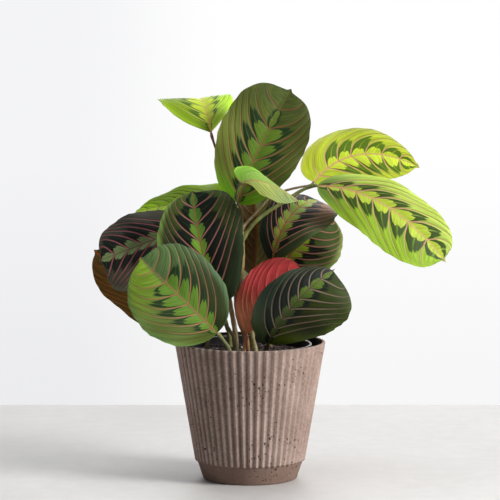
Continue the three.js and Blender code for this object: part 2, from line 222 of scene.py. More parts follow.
lamps = {  # place, aimed at, width and height in metres, watts, colour
    "key": ((2.1, -1.05, 1.4), (0, 0, 0.2), (0.9, 1.2), 92, (1.0, 0.985, 0.96)),
    "top": ((-0.1, 0.3, 2.3), (0, 0, 0.2), (1.4, 1.4), 20, (0.95, 0.98, 1.0)),
    "back": ((0.0, 2.6, 1.4), (0, 0, 0.2), (3.0, 1.8), 48, (1.0, 1.0, 1.0)),
    "fill": ((-1.6, -2.2, 0.9), (0, 0, 0.2), (1.5, 1.5), 2.0, (0.95, 0.98, 1.0)),
}
for name, (place, target, size, watts, colour) in lamps.items():
    lamp = addObject(name + "Lamp", bpy.data.lights.new(name + "Lamp", "AREA"))
    lamp.data.shape = "RECTANGLE"
    lamp.data.size, lamp.data.size_y = size
    lamp.data.energy = watts
    lamp.data.color = colour
    lamp.location = place
    lamp.rotation_euler = (Vector(target) - Vector(place)).to_track_quat("-Z", "Y").to_euler()

room = {
    "light": "ffffff", "strength": 0.14, "wallLeft": "f4f4f6", "wallRight": "ffffff", "wallTurn": (-0.065, -0.005),
    "wallLowShade": 0.93, "wallLowFrom": (-0.06, -0.155),
}
world = bpy.data.worlds.new("room")
bpy.context.scene.world = world
world.use_nodes = True
world.node_tree.nodes.clear()
sky = Wire(world.node_tree)
way = sky.node("ShaderNodeTexCoord").parts()
# The backdrop is painted shade: a little darker on the left, away from the key light, and darker low down towards
# the table.
wall = way[0].step(*room["wallTurn"]).blend(room["wallLeft"], room["wallRight"])
wall = way[2].step(*room["wallLowFrom"]).blend(wall, wall.times(room["wallLowShade"]))
isSeen = sky.node("ShaderNodeLightPath")
lighting = sky.node("ShaderNodeBackground", None, {"Color": paint(room["light"]), "Strength": room["strength"]})
backdrop = sky.node("ShaderNodeBackground", None, {"Color": wall, "Strength": 1.0})
mixed = sky.node("ShaderNodeMixShader", None, {0: isSeen, 1: lighting, 2: backdrop})
sky.node("ShaderNodeOutputWorld", None, {"Surface": mixed}, 0)

table = {
    "backEdge": 0.415, "reach": 3.0, "pale": "c8c6c5", "dull": "bcbab9", "farLeftShadow": 0.9,
    "farFrom": (0.1, 0.4), "leftFrom": (0.05, -0.15),
}
tableMaterial, start = newMaterial("paleTable")
spot = start.place()
patches = start.clouds(spot, 3.0, 4.0)
flecks = start.clouds(spot, 60.0, 3.0)
tableColour = (patches * 0.7 + flecks * 0.3).step(0.35, 0.65).blend(table["dull"], table["pale"])
# A painted shadow of the wall darkens the far left of the table.
farLeftShadow = spot.parts()[1].step(*table["farFrom"]) * spot.parts()[0].step(*table["leftFrom"])
tableColour = farLeftShadow.blend(tableColour, tableColour.times(table["farLeftShadow"]))
finishMaterial(start, tableColour, 0.55 + 0.1 * flecks, flecks, 0.0002)
tableMesh = bpy.data.meshes.new("table")
reach = table["reach"]
tableMesh.from_pydata([(-reach, -reach, 0), (reach, -reach, 0), (reach, table["backEdge"], 0),
                       (-reach, table["backEdge"], 0)], [], [(0, 1, 2, 3)])
tableMesh.materials.append(tableMaterial)
tableTop = addObject("table", tableMesh)
tableTop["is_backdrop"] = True
print("camera, lamps and table are set")

# Cover pot.
coverPot = {
    "height": 123.2, "rimRadius": 67.5, "ribEndRadius": 49.5, "ribEndHeight": 17.5, "footRadius": 42.5,
    "footEdge": 1.8, "wall": 3.4, "floor": 6.0, "floorRadius": 40.0, "ribs": 56, "ribDepth": 1.7, "ribDrop": 0.9,
    "ribEndSoftness": 0.9, "dip": 0.35, "dipHeight": 1.1, "lip": 1.1, "unevenness": 0.1, "lit": "b8a298",
    "shade": "8f7a70", "pit": "3a2c26", "foot": "6b5347", "footCover": 0.75, "inside": "1c1816",
    "insideShadeDepth": (2.6, 3.2), "insideShadeHeight": (20, 24), "grooveShade": 0.35, "grooveShadeLeft": 0.78,
    "grooveShadeRight": 0.14, "grooveShadeTurn": (-12, 45),
}


def buildCoverPot(look):
    sides = look["ribs"] * 10
    angle = np.arange(sides) * 2 * math.pi / sides
    phase = (angle * look["ribs"] / (2 * math.pi)) % 1
    rounded = 0.5 + 0.5 * np.cos(2 * math.pi * phase)
    crest = 0.92 * abs(2 * phase - 1) + 0.08 * rounded  # 1 on a rib, 0 in a groove
    slope = (look["rimRadius"] - look["ribEndRadius"]) / (look["height"] - look["ribEndHeight"])
    footTop = look["ribEndRadius"] - look["ribDepth"]
    footSlope = (footTop - look["footRadius"]) / (look["ribEndHeight"] - look["footEdge"])
    rows = []

    def ring(radius, height):
        rows.append((radius, height))

    for radius in (12.0, 24.0, 34.0, look["footRadius"] - look["footEdge"]):
        ring(radius, 0.0)
    for k in range(1, 6):
        turn = k / 5 * math.pi / 2
        ring(look["footRadius"] - look["footEdge"] * (1 - math.sin(turn)), look["footEdge"] * (1 - math.cos(turn)))
    for height in np.concatenate([np.linspace(4, 14.5, 6), np.linspace(15.2, 21, 15),
                                  np.linspace(23, look["height"] - 3, 34), [look["height"] - 2]]):
        foot = look["footRadius"] + footSlope * (height - look["footEdge"])
        rib = look["ribEndRadius"] + slope * (height - look["ribEndHeight"]) - look["ribDepth"] * (1 - crest)
        end = look["ribEndHeight"] - look["ribDrop"] * crest  # a rib reaches lower than the groove beside it
        shown = ease(height - end, -look["ribEndSoftness"] / 2, look["ribEndSoftness"] / 2)
        dip = look["dip"] * np.exp(-((height - end) / look["dipHeight"]) ** 2) * (1 - crest)
        ring(foot + (rib - foot) * shown - dip, height)
    top = look["rimRadius"] - look["ribDepth"] * (1 - crest)
    for k in range(1, 5):
        turn = k / 4 * math.pi / 2
        ring(top - look["lip"] * (1 - math.cos(turn)) + 0.25 * (1 - crest) * k,
             look["height"] - look["lip"] * (1 - math.sin(turn)))
    inner = look["rimRadius"] - look["wall"]
    for k in range(5):
        turn = k / 4 * math.pi / 2
        ring(inner + look["lip"] * (1 - math.sin(turn)), look["height"] - look["lip"] * (1 - math.cos(turn)))
    for share in np.linspace(0.06, 0.97, 12):
        ring(inner + (look["floorRadius"] - inner) * share,
             look["height"] - look["lip"] + (look["floor"] - look["height"] + look["lip"]) * share)
    for radius in (look["floorRadius"] - 1.2, 30.0, 15.0):
        ring(radius, look["floor"])
    points = spun(rows, sides)
    outward = points * [1, 1, 0] / np.maximum(np.hypot(points[:, 0], points[:, 1]), 1)[:, None]
    uneven = grain(points, 14.0) + 0.5 * grain(points, 4.0, 3.0)
    uneven[points[:, 2] < 0.5] = 0
    points = points + outward * (uneven * look["unevenness"])[:, None]
    points = np.vstack([points, [[0, 0, 0], [0, 0, look["floor"]]]])
    return points, cappedFaces(len(rows), sides)


def concreteMaterial(look):
    material, start = newMaterial("ribbedConcrete")
    place = start.place()
    cloudy = start.clouds(place, 28.0, 4.0, 0.6)
    sandy = start.clouds(place, 420.0, 3.0, 0.6)
    gritty = start.clouds(place, 1500.0, 2.0, 0.5)
    body = (cloudy * 0.55 + sandy * 0.45).step(0.32, 0.68).blend(look["shade"], look["lit"])
    patchy = start.clouds(place, 22.0, 1.0).step(0.42, 0.62)
    pits = []
    for scale, size, share in ((210.0, 0.24, 0.5), (420.0, 0.3, 0.42)):  # large and small blow holes
        apart = start.node("ShaderNodeVectorMath", {"operation": "ADD"},
                           {0: place, 1: (0.003 * scale, 0.01, 0.007)})
        cell = {"Vector": apart, "Scale": scale, "Randomness": 1.0}
        away = start.node("ShaderNodeTexVoronoi", None, cell, 0)
        kept = start.node("ShaderNodeTexVoronoi", None, cell, 1).parts()[0].step(share + 0.4, share + 0.42)
        edge = size * (0.55 + 0.9 * patchy)
        pits.append(away.step(edge, edge * 0.45) * kept)
    hole = pits[0].largest(pits[1] * 0.85)
    east, north, up = place.parts()
    ribEnd = look["ribEndHeight"] / 1000
    ribbed = up.step(ribEnd - 0.001, ribEnd + 0.001)
    crest = abs((start.pair("ARCTAN2", north, east) * (look["ribs"] / (2 * math.pi))).only("FRACT") * 2.0 - 1.0)
    turn = east.step(*[x / 1000 for x in look["grooveShadeTurn"]])  # grooves are darker on the left
    # Painted shade in the grooves between the ribs, stronger on the left, away from the key light.
    groove = crest.step(0.8, 0.15) * ribbed
    groove = groove * (look["grooveShadeLeft"] + (look["grooveShadeRight"] - look["grooveShadeLeft"]) * turn)
    body = groove.blend(body, body.times(look["grooveShade"]))
    body = ((1.0 - ribbed) * look["footCover"]).blend(body, look["foot"])
    # The inner face of the wall is painted near black: painted shade inside the pot.
    taper = (look["rimRadius"] - look["ribEndRadius"]) / (look["height"] - look["ribEndHeight"])
    outerRadius = look["ribEndRadius"] / 1000 + (up - ribEnd) * taper
    depth = outerRadius - (east * east + north * north).only("SQRT")
    insideShadeMask = depth.step(*[x / 1000 for x in look["insideShadeDepth"]])
    body = (insideShadeMask * up.step(*[x / 1000 for x in look["insideShadeHeight"]])).blend(body, look["inside"])
    colour = (hole * 0.9).blend(body, look["pit"])
    height = 0.25 * sandy + 0.12 * gritty + 0.35 * cloudy - 1.6 * hole
    finishMaterial(start, colour, 0.82 + 0.12 * sandy, height, 0.0006, {"Specular IOR Level": 0.25})
    return material


potPoints, potFaces = buildCoverPot(coverPot)
concrete = concreteMaterial(coverPot)
addPiece("coverPot", potPoints, potFaces, [concrete], slotOf["cover_pot"], ["cover_pot"])
print("cover pot is made")

# Nursery pot.
nurseryPot = {
    "top": 121.4, "rimRadius": 55.5, "rimDepth": 9.0, "bodyRadius": 53.7, "bottom": 6.3, "bottomRadius": 37.0,
    "wall": 1.3, "floor": 1.6, "sides": 224, "black": "090a0b", "worn": "1b1c1e", "dullInside": (53.8, 53.0),
}


def buildNurseryPot(look):
    outline = [(20, look["bottom"]), (look["bottomRadius"] - 1, look["bottom"]),
               (look["bottomRadius"], look["bottom"] + 1)]
    rimBottom = look["top"] - look["rimDepth"]
    for share in np.linspace(0.1, 1, 10):  # the wall, up to the rim
        height = look["bottom"] + 1 + (rimBottom - look["bottom"] - 1) * share
        outline.append((look["bottomRadius"] + (look["bodyRadius"] - look["bottomRadius"]) * share, height))
    outline += [(look["rimRadius"] - 0.5, rimBottom + 0.2), (look["rimRadius"], rimBottom + 0.8),
                (look["rimRadius"], look["top"] - 0.9)]
    for k in range(1, 8):  # the rolled rim
        turn = k / 8 * math.pi
        outline.append((look["rimRadius"] - 1.2 + 1.2 * math.cos(turn), look["top"] - 0.9 + 0.9 * math.sin(turn)))
    outline += [(look["rimRadius"] - 2.4, look["top"] - 1.0), (look["rimRadius"] - 2.5, rimBottom + 1.4),
                (look["bodyRadius"] - look["wall"], rimBottom - 0.4)]
    for share in np.linspace(0.15, 1, 6):
        height = rimBottom + (look["bottom"] + look["floor"] - rimBottom) * share
        inside = look["bodyRadius"] + (look["bottomRadius"] - look["bodyRadius"]) * share - look["wall"]
        outline.append((inside, height))
    outline.append((20, look["bottom"] + look["floor"]))
    points = np.vstack([spun(outline, look["sides"]),
                        [[0, 0, look["bottom"]], [0, 0, look["bottom"] + look["floor"]]]])
    return points, cappedFaces(len(outline), look["sides"])


def blackPlasticMaterial(look):
    material, start = newMaterial("blackPlastic")
    place = start.place()
    dust = start.clouds(place, 60.0, 5.0, 0.65)
    scuffs = start.clouds(place, 900.0, 2.0)
    east, north = place.parts()[:2]
    inside = (east * east + north * north).only("SQRT").step(*[r / 1000 for r in look["dullInside"]])
    wear = (dust * 0.8 + scuffs * 0.2).step(0.45, 0.75) * (1.0 - 0.8 * inside)
    colour = wear.blend(look["black"], look["worn"])
    finishMaterial(start, colour, 0.2 + 0.25 * dust + 0.5 * inside, scuffs * 0.4 + dust, 0.0002,
                   {"Specular IOR Level": 0.6})
    return material


nurseryPoints, nurseryFaces = buildNurseryPot(nurseryPot)
addPiece("nurseryPot", nurseryPoints, nurseryFaces, [blackPlasticMaterial(nurseryPot)], slotOf["nursery_pot"],
         ["nursery_pot"], sharpAngle=50)
print("nursery pot is made")

# Soil.
soil = {
    "top": 113.2, "mound": 2.2, "radius": 51.6, "bottom": 8.3, "bottomRadius": 35.2, "lumps": 620, "perlite": 70,
    "rough": ((9, 1.5), (3.5, 0.9), (1.4, 0.45)), "wet": "150d0a", "dry": "3a261d", "fibre": "5c3c30",
    "white": "d9d3c8", "chalk": "a89f92",
}


def lump(centre, size, seed, flatness=0.8):  # a small broken crumb
    golden = math.pi * (3 - math.sqrt(5))
    around, up = 9, 6
    points = []
    for r in range(up):
        tilt = math.pi * (r + 0.5) / up
        for c in range(around):
            turn = 2 * math.pi * (c + 0.5 * (r % 2)) / around + seed * golden
            way = Vector((math.sin(tilt) * math.cos(turn), math.sin(tilt) * math.sin(turn), math.cos(tilt)))
            reach = size * (1 + 0.45 * noise.noise(way * 1.9 + Vector((seed, 0, seed * 0.3))))
            points.append(Vector((way.x, way.y, way.z * flatness)) * reach + centre)
    points += [centre + Vector((0, 0, size * flatness)), centre - Vector((0, 0, size * flatness))]
    return points, cappedFaces(up, around, True)


def scatter(name, count, smallest, largest, sink, material, seed):
    chance = random.Random(seed)
    points, faces = [], []
    for k in range(count):
        away = soil["radius"] * math.sqrt(chance.random()) * 0.97
        turn = chance.uniform(0, 2 * math.pi)
        size = smallest + (largest - smallest) * chance.random() ** 2.2
        x, y = away * math.cos(turn), away * math.sin(turn)
        centre = Vector((x, y, soilHeight(x, y) + size * sink))
        made, madeFaces = lump(centre, size, k * 1.37 + seed, chance.uniform(0.55, 0.95))
        faces += [tuple(i + len(points) for i in face) for face in madeFaces]
        points += made
    return addPiece(name, points, faces, [material], slotOf["soil"], ["soil"])


def soilHeight(x, y):
    share = math.hypot(x, y) / soil["radius"]
    place = Vector((x, y, 0))
    rough = sum(noise.noise(place / size) * height for size, height in soil["rough"])
    return soil["top"] + soil["mound"] * (1 - share ** 2) + rough * min(1, (1 - share) * 8 + 0.2)


def buildSoil():
    sides, rings = 220, 64
    outline = [(soil["bottomRadius"], soil["bottom"]), (soil["radius"], soil["top"] - 2.5)]
    points = spun(outline, sides).tolist()
    for r in range(rings):
        radius = soil["radius"] * (1 - r / rings)
        for k in range(sides):
            x, y = radius * math.cos(k * 2 * math.pi / sides), radius * math.sin(k * 2 * math.pi / sides)
            points.append((x, y, soilHeight(x, y)))
    points += [(0, 0, soil["bottom"]), (0, 0, soilHeight(0, 0))]
    return points, cappedFaces(rings + 2, sides)


def peatMaterial():
    material, start = newMaterial("peat")
    place = start.place()
    damp = start.clouds(place, 90.0, 4.0, 0.6)
    fine = start.clouds(place, 900.0, 4.0, 0.7)
    colour = (damp * 0.6 + fine * 0.4).step(0.4, 0.66).blend(soil["wet"], soil["dry"])
    threads = start.node("ShaderNodeTexVoronoi", {"feature": "DISTANCE_TO_EDGE"},
                         {"Vector": place, "Scale": 260.0})
    colour = (threads.step(0.06, 0.0) * damp.step(0.5, 0.62)).blend(colour, soil["fibre"])
    finishMaterial(start, colour, 0.85 - 0.25 * damp.step(0.35, 0.6), fine + damp, 0.0012)
    return material


def perliteMaterial():
    material, start = newMaterial("perlite")
    place = start.place()
    chalky = start.clouds(place, 700.0, 3.0)
    colour = chalky.step(0.3, 0.7).blend(soil["chalk"], soil["white"])
    finishMaterial(start, colour, 0.9 - 0.1 * chalky, chalky, 0.0004)
    return material


peat = peatMaterial()
soilPoints, soilFaces = buildSoil()
addPiece("soilBed", soilPoints, soilFaces, [peat], slotOf["soil"], ["soil"])
scatter("peatLumps", soil["lumps"], 0.6, 3.2, -0.1, peat, 5)
scatter("perliteBits", soil["perlite"], 0.5, 1.5, 0.2, perliteMaterial(), 11)
print("soil is made")

# Leaves: their shapes. Outline, fold and curl are those of the solids; veins and swollen tissue are added here.
leafCut = {
    "veins": 8, "spread": 1.3, "lean": 0.9, "bend": 3.4, "rowsPerVein": 10, "columns": 17, "thickness": 0.42,
    "quilt": 0.62, "groove": 0.35, "rib": 0.5, "cuspStart": 0.975, "uneven": 0.018,
}
leafUsual = {  # pairs are for the left and the right side
    "twist": 0, "fold": (8, 8), "curl": (-14, -14), "wave": 1.6, "waves": 2.5, "base": (0.5, 0.5),
    "tip": (0.42, 0.42), "lobe": (0.15, 0.15), "cusp": 0.09, "sweep": (1.0, 1.0), "paint": "green",
    "patch": (0.33, 0.33), "stain": (0.2, 0.2), "joint": 0.12, "patternStart": 0, "patternEnd": 1.2,
    "pale": 0.0, "fade": 0.6, "relief": 1.0, "under": "crimson", "underLeft": None,
}
# A leaf's tints hold its own colours together with painted light and shade: a half or end that faces away from the
# key light or lies in the shade of other leaves is painted darker, and the rims and some tips carry a painted
# sheen.
leaves = {  # stalk end, middle and tip of the midrib, the way the upper face looks, half widths, the unusual
    "top": {"line": [(-11, 22, 245), (7, 17, 292), (37, 32, 347)], "face": (-0.05, -1, 0.2), "half": (41, 38),
        "base": (0.62, 0.6), "tip": (0.32, 0.36), "patch": (0.27, 0.33), "stain": (0.25, 0.17),
        "patternEnd": 0.8, "fade": 0.45, "tintsAndShade": {"left": "788437", "leftTip": "4b5824",
        "leftBase": "71ad22", "right": "4b5720", "rightTip": "454f20", "rightBase": "6ca320",
        "veinTip": "74452c", "midribTip": "5c5c2a", "patch": "64882a", "patchTip": "5f7426"}},
    "upper_left": {"line": [(-35, 36, 308), (-44, 62, 336), (-53, 92, 322)], "face": (-0.1, -0.4, 0.9),
        "half": (42, 29), "fold": (14, -6), "curl": (2, -8), "base": (0.9, 1.0), "tip": (1.0, 0.9),
        "paint": "lime", "patch": (0.36, 0.36), "stain": (0.22, 0.2), "patternEnd": 0.8, "under": "pale",
        "tintsAndShade": {"left": "779411", "right": "afdd3c", "vein": "b4b85c", "midrib": "c8b05c"}},
    "right_upper": {"line": [(57, 22, 264), (99, 34, 288), (152, 24, 277)], "face": (0.1, -0.85, 0.5),
        "half": (28, 31), "base": (0.42, 0.4), "tip": (0.75, 0.42), "lobe": (0.3, 0.2), "sweep": (0.4, 0.9),
        "paint": "lime", "patch": (0.22, 0.36), "stain": (0.34, 0.34), "patternStart": 0.12, "under": "pale",
        "tintsAndShade": {"left": "b2c430", "leftRim": "b6c060", "leftTip": "c0cc38", "stain": "56731a",
        "patch": "c8dc3c"}},
    "right_lower": {"line": [(60, -6, 263), (118, -26, 248), (172, -34, 198)], "face": (0.15, -0.8, 0.55),
        "half": (26, 35), "fold": (14, -4), "base": (0.7, 0.6), "tip": (0.3, 0.34), "sweep": (1.0, 0.55),
        "paint": "lime", "patch": (0.27, 0.24), "stain": (0.32, 0.3), "under": "pale",
        "tintsAndShade": {"left": "b0c854", "right": "92b42c", "stain": "3a4f1a", "patch": "b0c440", "vein": "c49474",
        "leftBase": "829e4f", "rightBase": "729235"}},
    "young": {"line": [(-7, -42, 268), (13, -42, 269), (43, -34, 251)], "face": (0.2, -0.5, 0.85),
        "half": (16, 14), "twist": -50, "fold": (20, -30), "wave": 0.8, "base": (0.2, 1.6), "tip": (2.0, 0.7),
        "lobe": (0.15, 0), "relief": 0.3, "paint": "lime", "patch": (0, 0), "stain": (0, 0), "pale": 0.16,
        "fade": 0, "under": "pale", "tintsAndShade": {"left": "7bb12a", "leftTip": "7a8454", "right": "a4aa48",
        "rightTip": "6d7d4b", "vein": "8fa655", "midrib": "a0804c"}},
    "left": {"line": [(-28, -22, 158), (-43, -30, 211), (-51, -12, 259)], "face": (-0.15, -0.95, 0.25),
        "half": (38, 40), "tip": (0.45, 0.24), "sweep": (1.7, 1.5), "paint": "dark", "patch": (0.18, 0.15),
        "stain": (0.3, 0.4), "joint": 0.0, "tintsAndShade": {"left": "26331d", "leftTip": "4a5d26",
        "leftRim": "85ab53", "right": "202c15", "rightTip": "415422", "rightRim": "33442a", "patch": "8ab640",
        "patchTip": "567c31"}},
    "far_left": {"line": [(-56, 10, 226), (-92, -2, 212), (-134, -4, 196)], "face": (-0.3, -0.88, 0.35),
        "half": (39, 31), "tip": (0.18, 0.34), "sweep": (3.0, 1.4), "paint": "dark", "patch": (0.14, 0.22),
        "stain": (0.3, 0.4), "joint": 0.1, "tintsAndShade": {"left": "46463a", "right": "3e3d34", "patch": "7b8e5b",
        "vein": "a85a62", "leftRim": "5e6450", "midrib": "6a5a48"}},
    "front_left": {"line": [(-29, -40, 136), (-60, -62, 170), (-96, -54, 204)], "face": (-0.25, -0.85, 0.45),
        "half": (43, 39), "base": (0.62, 0.45), "tip": (0.48, 0.33), "lobe": (0, 0.15), "patch": (0.35, 0.36),
        "stain": (0.18, 0.24), "patternEnd": 0.72, "tintsAndShade": {"left": "5c6e30", "leftBase": "4d5822",
        "leftTip": "78982d", "right": "313c1c", "rightBase": "2d3519", "rightTip": "607c49",
        "rightRim": "5a7450", "leftRim": "5e7c3e", "patch": "5e832a"}},
    "back_left": {"line": [(-33, 36, 244), (-68, 49, 242), (-104, 53, 234)], "face": (-0.1, -0.5, 0.85),
        "half": (32, 29), "base": (0.5, 0.2), "tip": (0.42, 0.8), "paint": "lime", "patch": (0.12, 0.2),
        "stain": (0.1, 0.1), "patternEnd": 0.2, "fade": 0.2, "under": "pale", "tintsAndShade": {"left": "a3c80e",
        "right": "9cca13", "vein": "6f7a24", "midrib": "8a8a38"}},
    "low_left": {"line": [(-43, 14, 140), (-94, 14, 166), (-140, 22, 203)], "face": (-0.1, 0.75, 0.65),
        "half": (36, 36), "under": "olive"},
    "centre_right": {"line": [(20, 0, 195), (35, 2, 234), (61, 30, 247)], "face": (-0.15, -0.6, 0.8),
        "half": (26, 39), "base": (0.6, 0.8), "tip": (0.42, 0.36), "paint": "dark", "patch": (0.3, 0.24),
        "stain": (0.4, 0.3), "joint": 0.25, "fade": 0.15, "tintsAndShade": {"patch": "91a142", "patchTip": "a5c456",
        "vein": "c08070", "midrib": "b0643c", "left": "212e22", "right": "42502e", "rightTip": "885d42",
        "rightRim": "55683a"}},
    "inner_right": {"line": [(28, 14, 190), (48, 20, 213), (69, 33, 237)], "face": (0.1, -1, 0.2),
        "half": (19, 36), "cusp": 0.02, "paint": "dark", "patch": (0.2, 0.3), "stain": (0.3, 0.3),
        "patternEnd": 0.55, "fade": 0.1, "tintsAndShade": {"patch": "a8cc3c", "vein": "c48676", "midrib": "b06a34",
        "right": "4f6431", "rightRim": "9cb55f"}},
    "rolled": {"line": [(-3, -28, 133), (12, -27, 167), (47, -20, 191)], "face": (0, 1, 0), "half": (20, 24),
        "fold": (0, 0), "curl": (20, 30), "base": (0.8, 0.85), "tip": (0.42, 0.5), "paint": "dark",
        "under": "rose"},
    "front_right": {"line": [(16, -38, 126), (40, -58, 165), (74, -46, 193)], "face": (0.2, -0.85, 0.35),
        "half": (29, 42), "base": (0.5, 0.65), "tip": (0.75, 0.26), "lobe": (0, 0), "cusp": 0.02,
        "sweep": (1.0, 1.6), "paint": "dark", "patch": (0.17, 0.13), "stain": (0.45, 0.1), "joint": 0.0,
        "tintsAndShade": {"left": "29382a", "leftBase": "3e4a2c", "leftTip": "1f2f1d", "right": "272e09",
        "rightBase": "4f5d1a", "rightTip": "334014", "rightRim": "3d4c18", "patch": "415124",
        "patchTip": "5b742a", "vein": "8a7466", "midrib": "50462a"}},
    "inner": {"line": [(4, 24, 180), (6, 37, 216), (4, 44, 256)], "face": (0, 1, 0.1), "half": (19, 21),
        "tip": (0.34, 0.34), "under": "umber", "underLeft": "moss"},
    "back_top": {"line": [(14, 48, 212), (14, 72, 238), (16, 94, 256)], "face": (0.2, 0.75, 0.65),
        "half": (28, 28)},
    "back_left_low": {"line": [(-36, 38, 152), (-68, 66, 180), (-86, 90, 196)], "face": (-0.4, 0.5, 0.7),
        "half": (36, 36)},
    "back_right_low": {"line": [(24, 42, 147), (43, 74, 159), (56, 101, 155)], "face": (0.3, 0.6, 0.7),
        "half": (35, 35), "paint": "dark", "patch": (0.22, 0.22)},
    "back_middle": {"line": [(0, 52, 160), (-4, 86, 180), (-4, 112, 186)], "face": (-0.1, 0.5, 0.85),
        "half": (34, 34), "paint": "dark", "patch": (0.2, 0.2)},
    "back_left_high": {"line": [(-34, 40, 196), (-58, 64, 216), (-76, 84, 218)], "face": (-0.4, 0.4, 0.8),
        "half": (31, 31)},
    "back_right_high": {"line": [(28, 40, 188), (53, 62, 204), (75, 78, 204)], "face": (0.4, 0.45, 0.8),
        "half": (30, 30)},
}


def midrib(leaf, s):
    base, middle, tip = np.array(leaf["line"], float)
    s = s[..., None]
    return base * (1 - s) * (1 - 2 * s) + middle * 4 * s * (1 - s) + tip * s * (2 * s - 1)


def midribWay(leaf, s):
    base, middle, tip = np.array(leaf["line"], float)
    s = s[..., None]
    way = base * (4 * s - 3) + middle * (4 - 8 * s) + tip * (4 * s - 1)
    return way / np.linalg.norm(way, axis=-1, keepdims=True)


def sided(leaf, key, right):
    return np.where(right, leaf[key][1], leaf[key][0])


def bladeShare(leaf, s, right):  # half width as a share of the widest
    a, b = sided(leaf, "base", right), sided(leaf, "tip", right)
    widest = a / (a + b)
    peak = widest ** a * (1 - widest) ** b
    blunt = np.minimum(s / leafCut["cuspStart"], 1)
    cusp = np.where(s > 0.5, leaf["cusp"] * np.minimum((1 - s) / (1 - leafCut["cuspStart"]), 1), 0)
    return np.maximum(blunt ** a * (1 - blunt) ** b / peak, cusp)


def bladePoints(leaf, s, v):  # s from stalk to tip, v from the left margin at -1 to the right one at 1
    along = midribWay(leaf, s)
    face = np.array(leaf["face"], float)
    up = face - along * (along @ face)[..., None]
    up /= np.linalg.norm(up, axis=-1, keepdims=True)
    turn = (np.radians(leaf["twist"]) * (s - 0.5))[..., None]
    up = up * np.cos(turn) + np.cross(along, up) * np.sin(turn)
    rightWay = np.cross(along, up)
    right = v >= 0
    share = bladeShare(leaf, s, right)
    half, phase = sided(leaf, "half", right), sided(leaf, "phase", right)
    # uneven margins, which fade out towards the midrib
    bumps = np.sin(2 * math.pi * (6.3 * s + 3 * phase)) * np.sin(2 * math.pi * (2.7 * s + phase))
    reach = np.maximum(half * share, 0.3) * abs(v) * (1 + leafCut["uneven"] * bumps * v * v)
    fold, bend = np.radians(sided(leaf, "fold", right)), np.radians(sided(leaf, "curl", right)) / half
    turned = fold + bend * reach
    across = np.sign(v) * (np.sin(turned) - np.sin(fold)) / bend
    rise = (np.cos(fold) - np.cos(turned)) / bend
    rise += leaf["wave"] * np.sin(2 * math.pi * (leaf["waves"] * s + phase)) * share * v * v
    back = sided(leaf, "lobe", right) * reach * abs(v) * (1 - s) ** 3
    return (midrib(leaf, s) + rightWay * across[..., None] + up * rise[..., None] - along * back[..., None]), reach


def bladeNormals(leaf, s, v):
    step = 0.004
    inside = np.clip(s, 2 * step, 1 - 2 * step)
    along = bladePoints(leaf, inside + step, v)[0] - bladePoints(leaf, inside - step, v)[0]
    across = bladePoints(leaf, inside, v + step)[0] - bladePoints(leaf, inside, v - step)[0]
    normal = np.cross(across, along)
    return normal / np.linalg.norm(normal, axis=-1, keepdims=True)


def veinRows():  # rows of the blade's mesh, an even number of them between one side vein and the next
    count, inner = leafCut["veins"], leafCut["rowsPerVein"]
    first = np.linspace(0, 1, inner + 7) ** 5
    middle = np.arange(1, (count - 2) * inner + 1) / inner + 1
    last = count - (1 - np.linspace(0, 1, inner + 3)[1:]) ** 3
    return np.concatenate([first, middle, last])


def paintCells(leaf, chance):  # how far the light patch and the dark stain reach in each field between two veins
    cells = {}
    for side in (0, 1):
        for k in range(leafCut["veins"]):
            middle = ((k + 0.5) / leafCut["veins"]) ** leafCut["spread"]
            ends = min(1, 0.5 + 2.5 * middle) * (1 if middle < 0.85 else 0.75)
            kept = min(1, max(0, (leaf["patternEnd"] - middle) * 6)) * (middle >= leaf["patternStart"])
            patch = leaf["patch"][side] * ends * kept * chance.uniform(0.86, 1.14)
            stain = leaf["stain"][side] * ends * kept * chance.uniform(0.75, 1.25)
            cells[side, k] = (patch, stain, leaf["joint"])
    return cells


def mixed(low, high, share):
    return low + (high - low) * share[..., None]


def outerTints(tints, s, v):  # beyond the patches, changing from the stalk to the tip and to the rim
    sides = []
    for side in ("left", "right"):
        body = tints[side]
        shown = mixed(tints.get(side + "Base", body), body, ease(s, 0.05, 0.35))
        shown = mixed(shown, tints.get(side + "Tip", body), ease(s, 0.45, 0.95))
        # The rim colour is a painted sheen, 15% lighter than the blade unless a leaf gives its own.
        sides.append(mixed(shown, tints.get(side + "Rim", shown * 1.15), ease(abs(v), 0.8, 1.0)))
    return np.where(v[..., None] < 0, *sides)


def roleTints(tints, role, s):  # a patch, stain or vein colour that may change on the way to the tip
    return mixed(tints[role], tints.get(role + "Tip", tints[role]), ease(s, 0.3, 0.9))


def underTints(leaf, layer, s, v):
    sides = []
    for code in (leaf["underLeft"] or leaf["under"], leaf["under"]):
        codes = underPaints[code] * 2
        shown, low = [np.array(paint(codes[place])[:3]) for place in (layer, layer + 2)]
        sides.append(mixed(low, shown, ease(s, 0.1, 0.55)))
    return np.where(v[..., None] < 0, *sides)


